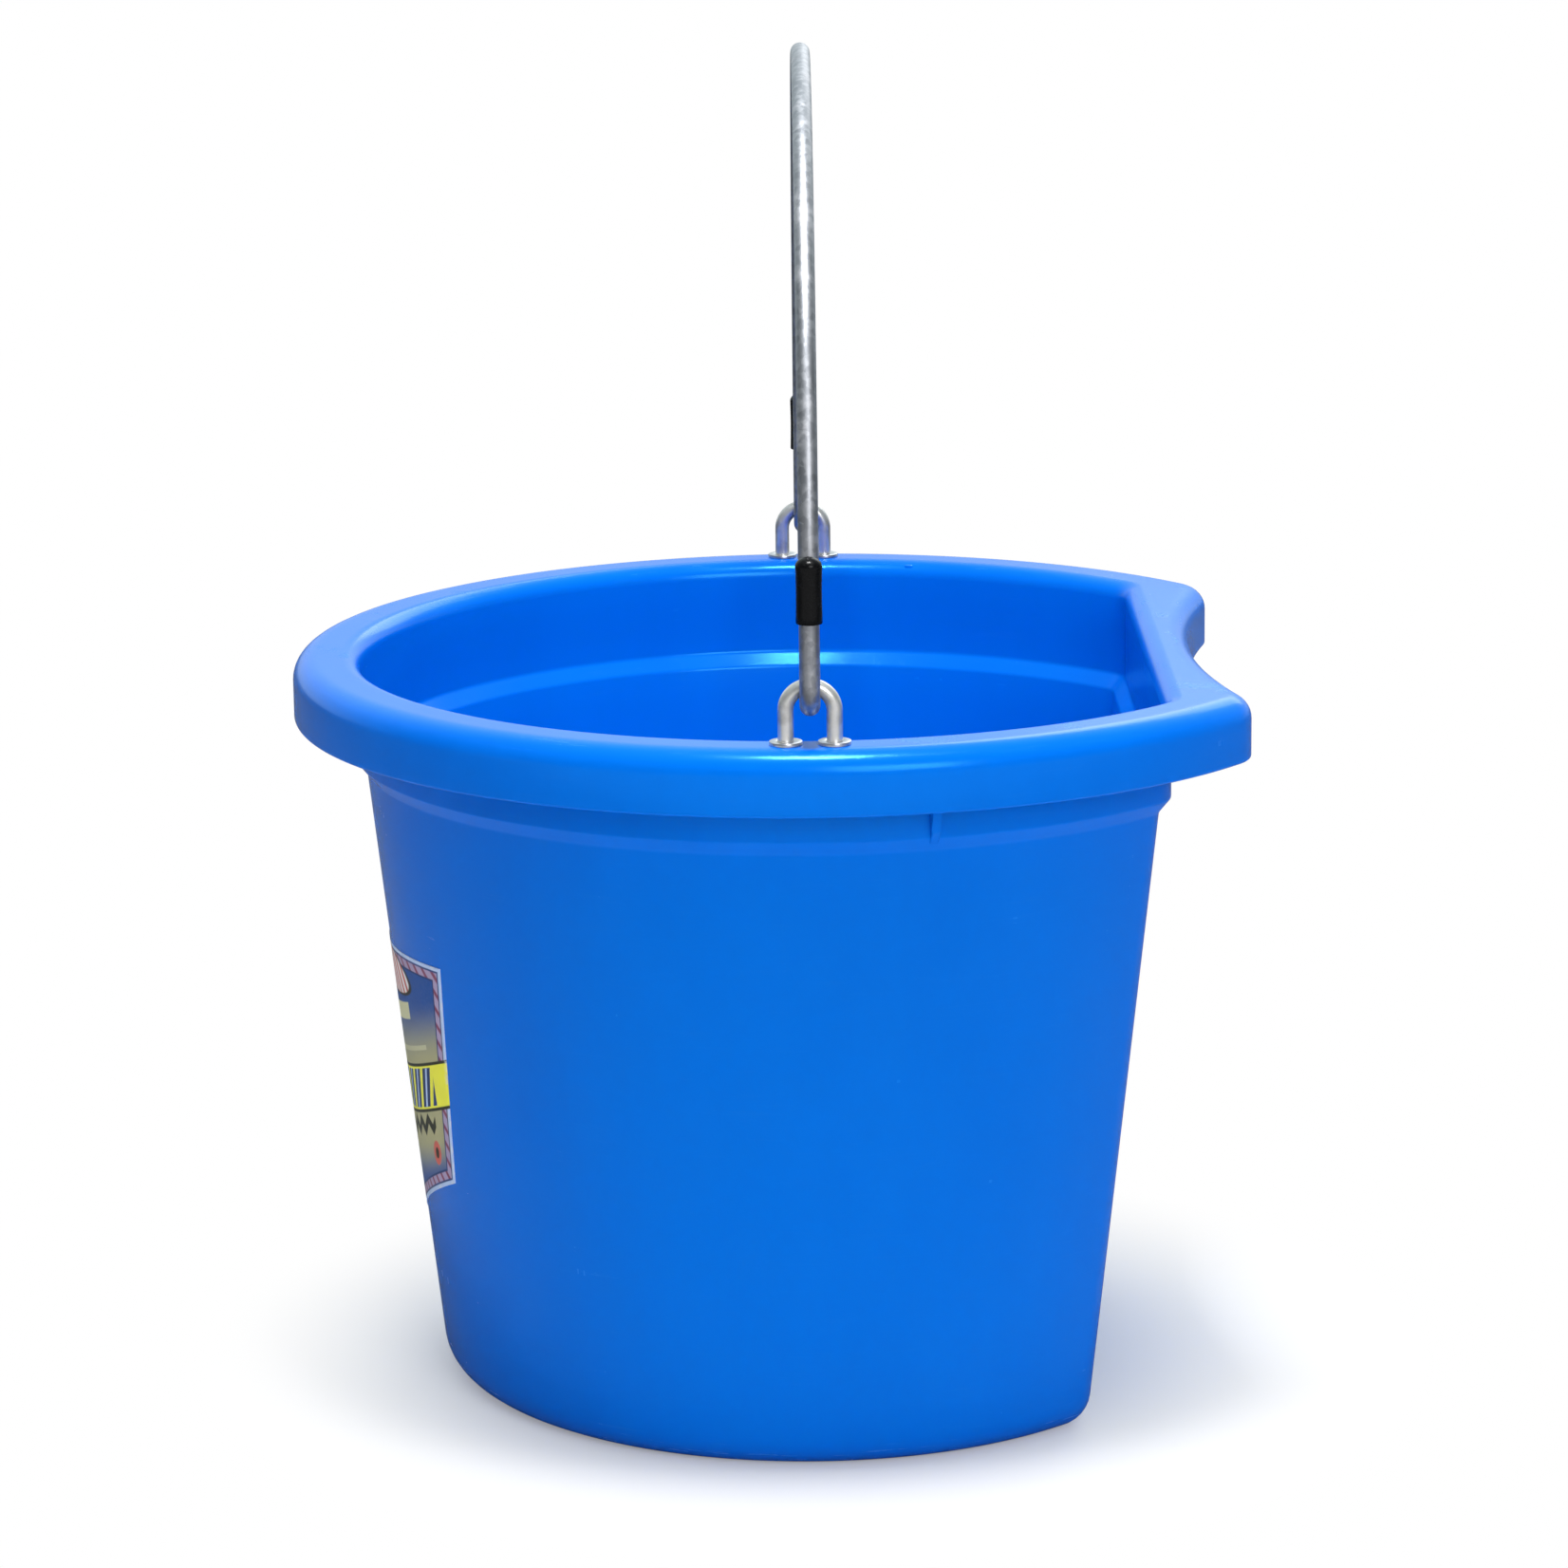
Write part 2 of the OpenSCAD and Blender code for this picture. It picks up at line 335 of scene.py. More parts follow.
def makeEyeSteel():
    material, shader, start, place = newMaterial("eyeSteel", {"Metallic": 0.80})
    rub = noise(start, place, 160, detail=4)
    drawn = noise(start, place, 1100, detail=2, stretch=(1, 1, 0.05))
    colour = rub.ramp(0.4, 0.7).blend(eyeLook["colour"], eyeLook["dull"])
    roughness = eyeLook["roughness"] + rub.ramp(0.45, 0.8) * 0.10 + drawn * 0.03
    feed(shader, colour, roughness, bumped(start, rub + drawn * 0.5, 0.15, 0.02 * mm))
    return material


zincLook = {"bright": (0.74, 0.74, 0.73, 1), "tint": (0.58, 0.60, 0.66, 1), "roughness": 0.24}


def makeZinc():
    material, shader, start, place = newMaterial("zincPlate", {"Metallic": 1.0})
    cloud = noise(start, place, 220, detail=4)
    turned = noise(start, place, 700, detail=2, stretch=(1, 1, 6))
    colour = cloud.ramp(0.35, 0.65).blend(zincLook["bright"], zincLook["tint"])
    roughness = zincLook["roughness"] + cloud * 0.14
    feed(shader, colour, roughness, bumped(start, turned + cloud, 0.25, 0.03 * mm))
    return material


vinylLook = {
    "colour": (0.003, 0.003, 0.0035, 1),
    "dust": (0.006, 0.006, 0.0065, 1),
    "roughness": 0.24,
}


def makeVinyl():
    material, shader, start, place = newMaterial("blackVinyl", {"Specular IOR Level": 0.14})
    dip = noise(start, place, 70, detail=2, stretch=(1, 1, 0.4))
    dust = noise(start, place, 500, detail=4)
    colour = dust.ramp(0.5, 0.75).blend(vinylLook["colour"], vinylLook["dust"])
    roughness = vinylLook["roughness"] + dust.ramp(0.5, 0.8) * 0.14
    feed(shader, colour, roughness, bumped(start, dip, 0.5, 0.25 * mm))
    return material


bucketSizes = {                            # millimetres
    "neckRadius": 172.5,
    "baseRadius": 146.5,
    "neckHeight": 244.0,
    "flatInset": 42.5,                     # how far inside the round wall's radius the back is
    "cornerRadius": 14.0,                  # upright corners beside the flat back
    "sharpestCorner": 3.0,                 # the least those corners may come to on the inside
    "wall": 3.0,
    "recess": 4.0,                         # how far the floor's underside is off the ground
    "floorTop": 8.0,
    "ringInner": 124.0,                    # inside radius of the standing ring
    "collarRadius": 177.0,
    "collarHeight": 249.5,
    "skirtHeight": 264.0,
    "backInset": 49.5,                     # the same for the middle of the rim's hollow back
    "backCurve": 400.0,                    # radius of that hollow
    "rimCorner": 22.0,
    "webAngle": 75.4,
    "webThickness": 3.5,
    "webFoot": 2.5,
    "webDrop": 2.7,                        # how far the web's root goes below the collar
    "webClear": 5.0,                       # between its outer edge and the rim's underside
    "webEdge": 0.6,
}
bucketRounds = {                           # millimetres, the radius of each edge of the profile
    "recess": 1.5,
    "ring": 1.2,
    "foot": 14.0,
    "neck": 3.0,
    "collar": 2.0,
    "deck": 1.5,
    "lipInside": 1.0,
    "lip": 1.4,
    "rim": 9.0,
    "mouth": 7.0,
    "floor": 11.0,
}
bucketRuns = {                             # millimetres past its last corner that each profile goes
    "recess": 8.0,
    "deck": 2.0,
    "rim": 1.2,
    "mouth": 0.3,
    "floor": 18.0,
}
outlineSteps = {"round": 190, "corner": 12, "back": 44}
roundSteps = 9                             # for a quarter turn of the profile
floorShares = (0.06, 0.25, 0.5, 0.75)      # rings between the floor's middle and its edge
nearlyFlat = 1e6                           # millimetres, the curve of a back that looks flat
rimRadius = -cadBox[0].x / mm
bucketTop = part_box("bucket_body")[1].z
wallSlope = (bucketSizes["neckRadius"] - bucketSizes["baseRadius"]) / bucketSizes["neckHeight"]


def outlineRing(circle, backX, backCurve, corner, z):
    # one level of the bucket, from above: a round front, two corner arcs, a hollow or flat back
    backCentre = backX + backCurve
    reach = circle - corner
    cornerX = (reach ** 2 - (backCurve + corner) ** 2 + backCentre ** 2) / (2 * backCentre)
    cornerY = math.sqrt(reach ** 2 - cornerX ** 2)
    roundEnd = math.atan2(cornerY, cornerX)
    facing = math.atan2(-cornerY, backCentre - cornerX)
    backHalf = math.asin(cornerY / (backCurve + corner))
    steps = outlineSteps
    ring = arcPoints((0, 0), circle, roundEnd, 2 * pi - roundEnd, steps["round"])
    ring += arcPoints((cornerX, -cornerY), corner, -roundEnd, -facing, steps["corner"])
    ring += arcPoints((backCentre, 0), backCurve, pi + backHalf, pi - backHalf, steps["back"])
    ring += arcPoints((cornerX, cornerY), corner, facing, roundEnd, steps["corner"])
    return [(x * mm, y * mm, z * mm) for x, y in ring]


def makeBucketShell():
    size, rounds, runs = bucketSizes, bucketRounds, bucketRuns
    top = bucketTop / mm

    def wallRing(point):
        radius, z = point
        outside = size["baseRadius"] + wallSlope * min(max(z, 0), size["neckHeight"])
        corner = max(size["sharpestCorner"], size["cornerRadius"] + radius - outside)
        return outlineRing(radius, radius - size["flatInset"], nearlyFlat, corner, z)

    def rimRing(point):
        inwards, z = point
        return outlineRing(rimRadius - inwards, rimRadius - size["backInset"] - inwards,
                           size["backCurve"] + inwards, size["rimCorner"] - inwards, z)

    wall = size["wall"]
    deck = top - wall
    collarInside = size["collarRadius"] - wall
    outside = filleted([
        (size["ringInner"] - runs["recess"], size["recess"], 0),
        (size["ringInner"], size["recess"], rounds["recess"]),
        (size["ringInner"], 0, rounds["ring"]),
        (size["baseRadius"], 0, rounds["foot"]),
        (size["neckRadius"], size["neckHeight"], rounds["neck"]),
        (size["collarRadius"], size["collarHeight"], rounds["collar"]),
        (size["collarRadius"], deck, rounds["deck"]),
        (size["collarRadius"] + runs["deck"], deck, 0)], roundSteps)
    rim = filleted([
        (rounds["rim"] + runs["rim"], deck, 0),
        (wall, deck, rounds["rim"] - wall),
        (wall, size["skirtHeight"], rounds["lipInside"]),
        (0, size["skirtHeight"], rounds["lip"]),
        (0, top, rounds["rim"]),
        (rounds["rim"] + runs["rim"], top, 0)], roundSteps)
    lowest = size["baseRadius"] + wallSlope * size["floorTop"] - wall
    inside = filleted([
        (collarInside + rounds["mouth"] + runs["mouth"], top, 0),
        (collarInside, top, rounds["mouth"]),
        (collarInside, size["collarHeight"], rounds["neck"]),
        (size["neckRadius"] - wall, size["neckHeight"], rounds["neck"]),
        (lowest, size["floorTop"], rounds["floor"]),
        (lowest - runs["floor"], size["floorTop"], 0)], roundSteps)
    rings = [wallRing(p) for p in outside] + [rimRing(p) for p in rim]
    rings += [wallRing(p) for p in inside]
    count = len(rings[0])
    # the two floor faces run in to their middle points
    middle = Vector((-size["flatInset"] / 2 * mm, 0, 0)).x

    def floorRings(edge):
        return [[tuple(Vector((middle, 0, p[2])).lerp(p, share)) for p in edge]
                for share in floorShares]

    rings = floorRings(rings[0]) + rings + floorRings(rings[-1])[::-1]
    points = [p for ring in rings for p in ring]
    faces = ringFaces(count, len(rings))
    last = (len(rings) - 1) * count
    for z, first, flip in ((size["recess"], 0, True), (size["floorTop"], last, False)):
        pole = len(points)
        points.append((middle, 0, z * mm))
        for i in range(count):
            edge = (first + i, first + (i + 1) % count)
            faces.append((pole, edge[1], edge[0]) if flip else (pole, edge[0], edge[1]))
    return meshFrom("bucketShell", points, faces)


def makeWebs(material):
    # the two webs that stiffen the rim: one upright plate, bevelled and turned to both sides
    size = bucketSizes
    collar, wall, foot = size["collarRadius"], size["wall"], size["webFoot"]
    top = bucketTop / mm
    inner, outer, upper = collar - wall / 2, rimRadius - wall / 2, top - wall / 2
    outline = [(inner, size["collarHeight"] - size["webDrop"]),
               (collar + foot, size["collarHeight"] + foot),
               (collar + 2 * foot, size["skirtHeight"]),
               (outer, size["skirtHeight"] + 2 * foot),
               (outer, top - wall - size["webClear"]),
               (rimRadius - bucketRounds["rim"], upper),
               (inner, upper)]
    half = size["webThickness"] / 2
    plate = bmesh.new()
    sides = [[plate.verts.new((x * mm, y * mm, z * mm)) for x, z in outline] for y in (-half, half)]
    plate.faces.new(sides[0])
    plate.faces.new(sides[1][::-1])
    for i in range(len(outline)):
        j = (i + 1) % len(outline)
        plate.faces.new((sides[0][j], sides[0][i], sides[1][i], sides[1][j]))
    bmesh.ops.bevel(plate, geom=plate.edges[:], offset=size["webEdge"] * mm, segments=3,
                    affect="EDGES", profile=0.5)
    bmesh.ops.recalc_face_normals(plate, faces=plate.faces)
    mesh = bpy.data.meshes.new("webForm")
    plate.to_mesh(mesh)
    plate.free()
    form = bpy.data.objects.new("webForm", mesh)
    fan = Pattern("rimWebs", {"Form": ("NodeSocketObject", form),
                              "Web angle": ("NodeSocketFloat", math.radians(size["webAngle"]))})
    node = fan.start.node
    copies = node("GeometryNodeObjectInfo", sockets={"Object": fan.value("Form")}, output=4)
    centre = node("GeometryNodePoints", sockets={"Count": 2})
    turn = fan.value("Web angle") * (1 - node("GeometryNodeInputIndex") * 2)
    spin = node("FunctionNodeAxisAngleToRotation", sockets={"Axis": (0, 0, 1), "Angle": turn})
    spread = node("GeometryNodeInstanceOnPoints",
                  sockets={"Points": centre, "Instance": copies, "Rotation": spin})
    webs = fan.run(spread, material)
    bpy.data.objects.remove(form)
    return webs


bluePlastic = makeBluePlastic()
shell = joined("bucketShell", [makeBucketShell(), makeWebs(bluePlastic)], bluePlastic)
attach(shell, "bucket")
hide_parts("bucket_body")
print("bucket shell:", len(shell.data.polygons), "faces")


wireSides = 24
endWidth = 0.8                             # how wide a filed end is, as a share of the wire


def sweepWire(name, path, diameter, material, filed):
    # round wire along a path; filed is the length over which each end narrows
    line = bpy.data.meshes.new(name + "Path")
    line.from_pydata(path, [(i, i + 1) for i in range(len(path) - 1)], [])
    width = line.attributes.new("width", "FLOAT", "POINT")
    reached = 0.0
    lengths = [0.0]
    for a, b in zip(path, path[1:]):
        reached += (Vector(b) - Vector(a)).length
        lengths.append(reached)
    for i, along in enumerate(lengths):
        nearest = min(along, reached - along)
        width.data[i].value = endWidth + (1 - endWidth) * min(nearest / filed, 1)
    sweep = Pattern(name + "Sweep", {"Wire radius": ("NodeSocketFloat", diameter / 2),
                                     "Sides": ("NodeSocketInt", wireSides)})
    node = sweep.start.node
    curve = node("GeometryNodeMeshToCurve", sockets={"Mesh": sweep.value("Geometry")})
    ring = node("GeometryNodeCurvePrimitiveCircle", sockets={
        "Radius": sweep.value("Wire radius"), "Resolution": sweep.value("Sides")})
    share = node("GeometryNodeInputNamedAttribute", {"data_type": "FLOAT"}, {"Name": "width"})
    solid = node("GeometryNodeCurveToMesh", sockets={
        "Curve": curve, "Profile Curve": ring, "Scale": share, "Fill Caps": True})
    return sweep.run(solid, material, line)


bailSizes = {                              # millimetres
    "wire": 7.4,
    "hookGap": 0.35,
    "filed": 0.5,                          # length over which each end narrows
    "capDiameter": 9.6,
    "capEnd": 1.6,                         # vinyl beyond the end of the wire
    "capDome": 3.4,
    "capLip": 0.5,                         # the rounded edge at the open end
    "capWaist": 0.16,                      # where the dipped vinyl shrinks on to the wire
}
bailSteps = {"hook": 20, "arch": 70, "waist": 8, "dome": 9, "capSides": 40}
eyeSizes = {                               # millimetres
    "wire": 5.8,
    "pitch": 17.5,
    "filed": 0.7,
    "threadLength": 9.0,
    "threadPitch": 1.0,
    "threadDepth": 0.45,
    "threadStart": 0.9,
    "threadRunout": 1.5,
}
eyeSteps = {"bend": 36, "thread": 28}
lipCut = 0.28                              # a rounded edge's middle, as a share of its radius
eyeLow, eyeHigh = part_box("eye_bolt_left")
eyeRow = (eyeLow.y + eyeHigh.y) / 2        # how far each eye stands from the middle
eyeBar = eyeHigh.z - eyeSizes["wire"] / 2 * mm  # the height of its wire's centre at the top


def arcPath(centre, radius, start, end, steps):
    # an arc in the upright plane that holds the bail, with both end points
    turns = [start + (end - start) * i / steps for i in range(steps + 1)]
    return [Vector((0, centre[0] + radius * math.cos(turn), centre[1] + radius * math.sin(turn)))
            for turn in turns]


def straightPath(start, end, spacing):
    start, end = Vector(start), Vector(end)
    parts = max(1, round((end - start).length / spacing))
    return [start.lerp(end, i / parts) for i in range(parts + 1)]


def makeBail(material):
    size = bailSizes
    wire = size["wire"] * mm
    hook = (eyeSizes["wire"] + size["wire"]) / 2 * mm + size["hookGap"] * mm
    leg = eyeRow - hook
    free = eyeRow + hook
    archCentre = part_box("bail")[1].z - wire / 2 - leg
    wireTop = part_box("bail_cap_left")[1].z - size["capEnd"] * mm
    half = straightPath((0, free, wireTop), (0, free, eyeBar), 4 * mm)[:-1]
    half += arcPath((eyeRow, eyeBar), hook, 0, -pi, bailSteps["hook"])[:-1]
    half += straightPath((0, leg, eyeBar), (0, leg, archCentre), 5 * mm)[:-1]
    half += arcPath((0, archCentre), leg, 0, pi / 2, bailSteps["arch"])
    other = [Vector((0, -p.y, p.z)) for p in half[-2::-1]]
    mesh = sweepWire("bailWire", half + other, wire, material, size["filed"] * mm)
    return joined("bailWire", [mesh], material)


def turned(profile, sides, centre):
    # a closed solid turned about an upright axis from (radius, z) points; a radius of 0 is a pole
    points = []
    faces = []
    rings = []
    for radius, z in profile:
        if radius == 0:
            rings.append([len(points)])
            points.append((centre[0], centre[1], z))
        else:
            rings.append(list(range(len(points), len(points) + sides)))
            points += [(centre[0] + radius * math.cos(2 * pi * i / sides),
                        centre[1] + radius * math.sin(2 * pi * i / sides), z) for i in range(sides)]
    for low, high in zip(rings, rings[1:]):
        for i in range(sides):
            j = (i + 1) % sides
            corners = [low[i % len(low)], low[j % len(low)],
                       high[j % len(high)], high[i % len(high)]]
            faces.append(tuple(dict.fromkeys(corners)))  # at a pole two corners are one
    return points, faces


def makeCap(name, node, material):
    size = bailSizes
    low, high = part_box(node)
    centre = ((low.x + high.x) / 2, (low.y + high.y) / 2)
    radius = size["capDiameter"] / 2 * mm
    bore = size["wire"] / 2 * mm
    wireTop = high.z - size["capEnd"] * mm
    lip = size["capLip"] * mm
    dome = size["capDome"] * mm
    shoulder = high.z - dome
    profile = [(0, wireTop), (bore, wireTop), (bore, low.z), (radius - lip, low.z),
               (radius - lip * lipCut, low.z + lip * lipCut), (radius, low.z + lip)]
    for i in range(bailSteps["waist"]):
        share = (i + 1) / bailSteps["waist"]
        profile.append((radius - size["capWaist"] * mm * math.sin(share * pi),
                        low.z + lip + share * (shoulder - low.z - lip)))
    for i in range(1, bailSteps["dome"]):
        turn = pi / 2 * i / bailSteps["dome"]
        profile.append((radius * math.cos(turn), shoulder + dome * math.sin(turn)))
    profile.append((0, high.z))
    points, faces = turned(profile, bailSteps["capSides"], centre)
    return meshPiece(name, points, faces, material)


def makeEyeBolt(name, side, material):
    size = eyeSizes
    wire = size["wire"] * mm
    leg = size["pitch"] / 2 * mm
    row = side * eyeRow
    low = eyeLow.z
    bend = eyeBar - leg
    path = straightPath((-leg, row, low), (-leg, row, bend), 2 * mm)[:-1]
    path += [Vector((x, row, z)) for x, z in arcPoints((0, bend), leg, pi, 0, eyeSteps["bend"])]
    path += straightPath((leg, row, bend), (leg, row, low), 2 * mm)
    # one more point near each end, so that only the tips narrow
    path.insert(1, path[0].lerp(path[1], 0.3))
    path.insert(-1, path[-1].lerp(path[-2], 0.3))
    core = sweepWire(name, path, wire, material, size["filed"] * mm)
    # rolled thread: a helix of small ridges, partly sunk in the wire, round the end of each leg
    ridge = size["threadDepth"] * mm
    rolled = size["threadLength"] - size["threadRunout"]
    screw = Pattern(name + "Thread", {
        "Thread radius": ("NodeSocketFloat", wire / 2 - ridge * 0.25),
        "Pitch": ("NodeSocketFloat", size["threadPitch"] * mm),
        "Turns": ("NodeSocketFloat", rolled / size["threadPitch"]),
        "Leg spacing": ("NodeSocketFloat", 2 * leg),
    })
    node = screw.start.node
    turns = screw.value("Turns")
    spiral = node("GeometryNodeCurveSpiral", sockets={
        "Resolution": eyeSteps["thread"], "Rotations": turns,
        "Start Radius": screw.value("Thread radius"),
        "End Radius": screw.value("Thread radius"), "Height": turns * screw.value("Pitch")})
    crest = node("GeometryNodeCurvePrimitiveCircle",
                 sockets={"Radius": ridge * 0.62, "Resolution": 4})
    thread = node("GeometryNodeCurveToMesh",
                  sockets={"Curve": spiral, "Profile Curve": crest, "Fill Caps": True})
    span = screw.value("Leg spacing")
    foot = low + size["threadStart"] * mm
    first = node("ShaderNodeCombineXYZ", sockets={"X": span * -0.5, "Y": row, "Z": foot})
    step = node("ShaderNodeCombineXYZ", sockets={"X": span})
    legs = node("GeometryNodeMeshLine",
                sockets={"Count": 2, "Start Location": first, "Offset": step})
    threads = node("GeometryNodeInstanceOnPoints", sockets={"Points": legs, "Instance": thread})
    ridges = screw.run(threads, material)
    return joined(name, [core, ridges], material, sharpAngle=50)


galvanised = makeGalvanised()
bail = makeBail(galvanised)
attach(bail, "bail")
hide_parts("bail")

blackVinyl = makeVinyl()
for side in ("right", "left"):
    cap = makeCap("bailCap" + side.capitalize(), "bail_cap_" + side, blackVinyl)
    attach(cap, "bail")
    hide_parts("bail_cap_" + side)
print("bail and its caps made")

eyeSteel = makeEyeSteel()
for side, sign in (("right", -1), ("left", 1)):
    eye = makeEyeBolt("eyeBolt" + side.capitalize(), sign, eyeSteel)
    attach(eye, "bucket")
    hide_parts("eye_bolt_" + side)
print("eye bolts made")


fastenerSizes = {                          # millimetres
    "washer": 12.0,
    "washerThickness": 1.4,
    "washerEdge": 0.3,
    "nutFlats": 10.0,
    "nutHeight": 5.0,
    "nutFacing": 0.94,                     # the round face on both ends, as a share of the flats
    "nutSlope": 28.0,                      # degrees, how steeply the nut's corners are cut back
    "leadDepth": 0.5,                      # the cut that leads the thread in
    "leadWidth": 0.45,
    "gap": 0.05,
    "spinSeed": 7,
}
fastenerSides = {"washer": 56, "nut": 72}
legNames = ["right_front", "right_back", "left_front", "left_back"]


def onEveryLeg(name, form, height, material):
    # copies a form to the four bolt legs, each turned by its own amount
    place = Pattern(name, {
        "Form": ("NodeSocketObject", form),
        "Leg spacing": ("NodeSocketFloat", eyeSizes["pitch"] * mm),
        "Row spacing": ("NodeSocketFloat", 2 * eyeRow),
        "Height": ("NodeSocketFloat", height),
        "Spin seed": ("NodeSocketInt", fastenerSizes["spinSeed"]),
    })
    node = place.start.node
    across, along = place.value("Leg spacing"), place.value("Row spacing")
    corner = node("ShaderNodeCombineXYZ", sockets={"X": across * -0.5, "Y": along * -0.5,
                                                   "Z": place.value("Height")})
    legStep = node("ShaderNodeCombineXYZ", sockets={"X": across})
    rowStep = node("ShaderNodeCombineXYZ", sockets={"Y": along})
    row = node("GeometryNodeMeshLine",
               sockets={"Count": 2, "Start Location": corner, "Offset": legStep})
    rows = node("GeometryNodeMeshLine",
                sockets={"Count": 2, "Start Location": (0, 0, 0), "Offset": rowStep})
    legs = node("GeometryNodeInstanceOnPoints", sockets={"Points": rows, "Instance": row})
    legs = node("GeometryNodeRealizeInstances", sockets={0: legs})
    copies = node("GeometryNodeObjectInfo", sockets={"Object": place.value("Form")}, output=4)
    spin = node("FunctionNodeRandomValue", {"data_type": "FLOAT"},
                {"Min": 0.0, "Max": 2 * pi, "Seed": place.value("Spin seed")}, output=1)
    turn = node("FunctionNodeAxisAngleToRotation", sockets={"Axis": (0, 0, 1), "Angle": spin})
    spread = node("GeometryNodeInstanceOnPoints",
                  sockets={"Points": legs, "Instance": copies, "Rotation": turn})
    mesh = place.run(spread, material)
    bpy.data.objects.remove(form)
    return pieceFrom(name, mesh, sharpAngle=30)


def lathedRing(name, section, sides, reach=None):
    # a closed ring from (radius, z) points; reach may move a point, by its angle
    points = []
    for radius, z in section:
        for i in range(sides):
            angle = 2 * pi * i / sides
            r, h = reach(radius, z, angle) if reach else (radius, z)
            points.append((r * math.cos(angle), r * math.sin(angle), h))
    faces = ringFaces(sides, len(section), closed=True)
    return bpy.data.objects.new(name, meshFrom(name, points, faces))


def washerForm():
    outer = fastenerSizes["washer"] / 2 * mm
    bore = (eyeSizes["wire"] / 2 + fastenerSizes["gap"]) * mm
    thick = fastenerSizes["washerThickness"] * mm
    edge = fastenerSizes["washerEdge"] * mm  # as punched: well rounded above, sharper below
    section = [(bore, 0), (outer - edge / 2, 0), (outer, edge / 2), (outer, thick - edge),
               (outer - edge * 0.3, thick - edge * 0.3), (outer - edge, thick),
               (bore + edge, thick), (bore + edge * 0.3, thick - edge * 0.3),
               (bore, thick - edge)]
    return lathedRing("washerForm", section, fastenerSides["washer"])


def nutForm():
    flats = fastenerSizes["nutFlats"] / 2 * mm
    tall = fastenerSizes["nutHeight"] * mm
    bore = (eyeSizes["wire"] / 2 + fastenerSizes["gap"]) * mm
    face = flats * fastenerSizes["nutFacing"]
    slope = math.tan(math.radians(fastenerSizes["nutSlope"]))
    depth, width = fastenerSizes["leadDepth"] * mm, fastenerSizes["leadWidth"] * mm

    def hexagon(radius, z, angle):
        if radius <= face:
            return radius, z
        out = flats / math.cos((angle + pi / 6) % (pi / 3) - pi / 6)
        drop = (out - face) * slope
        return out, drop if z < tall / 2 else tall - drop

    section = [(bore, depth), (bore + width, 0), (face, 0), (flats, 0), (flats, tall),
               (face, tall), (bore + width, tall), (bore, tall - depth)]
    return lathedRing("nutForm", section, fastenerSides["nut"], hexagon)


zincPlate = makeZinc()
fasteners = [
    ("topWashers", washerForm(), bucketTop, "top_washer_"),
    ("underWashers", washerForm(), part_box("under_washer_left_front")[0].z, "under_washer_"),
    ("eyeNuts", nutForm(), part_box("eye_nut_left_front")[0].z, "eye_nut_"),
]
for name, form, height, node in fasteners:
    piece = onEveryLeg(name, form, height, zincPlate)
    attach(piece, "bucket")
    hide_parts(*[node + leg for leg in legNames])
print("washers and nuts made")


labelSizes = {                             # millimetres, as the sheet is cut
    "thickness": 0.3,
    "topWidth": 176.0,
    "lowWidth": 148.0,
    "topHeight": 181.0,
    "dip": 7.0,
    "lowHeight": 92.0,
    "tipHeight": 59.0,
    "badgeWidth": 116.0,
    "badgeHeight": 21.0,
    "badgeCentre": 166.0,
    "lowLean": 0.91,                       # cosine of the slope of the two lower edges
}
labelSteps = {"columns": 150, "rows": 22}
labelLean = ((labelSizes["topWidth"] - labelSizes["lowWidth"]) / 2
             / (labelSizes["topHeight"] - labelSizes["lowHeight"]))
labelInk = {
    "white": (0.82, 0.80, 0.80, 1),
    "rim": (0.50, 0.62, 0.88, 1),
    "lilac": (0.44, 0.34, 0.52, 1),
    "crimson": (0.26, 0.05, 0.11, 1),
    "red": (0.66, 0.12, 0.09, 1),
    "navy": (0.012, 0.045, 0.19, 1),
    "sky": (0.012, 0.085, 0.36, 1),
    "sand": (0.46, 0.42, 0.22, 1),
    "yellow": (0.96, 0.90, 0.045, 1),
    "ink": (0.035, 0.035, 0.02, 1),
    "cream": (0.70, 0.66, 0.40, 1),
}
labelBand = {                              # millimetres
    "low": 124.0,
    "high": 143.0,
    "line": 1.3,
    "sweep": 19.5,                         # how far the middle of the design hangs below its sides
    "sag": 1.6,                            # the sweep's power: higher is flatter in the middle
    "block": 13.0,
    "blockHeight": 16.0,
    "blockEnd": (68, 69),
}
labelArt = {                               # millimetres: heights at the label's sides, or widths
    "blueToSand": (170, 143),
    "sandToBlue": (94, 112),
    "hills": 88,
    "leafRow": (118.5, 123.0, 0.5),
    "leafSpan": (6, 64),
    "leaf": 5.5,
    "spotAcross": 61,
    "spotUp": 106,
    "spot": (3.7, 4.5),
    "spotCore": (1.6, 2.2),
    "wideBar": (162, 169),
    "wideSpan": (8, 50),
    "thinBar": (149, 151),
    "thinSpan": (8, 66),
    "dash": 8.0,
    "badgeStripe": 7.5,
}


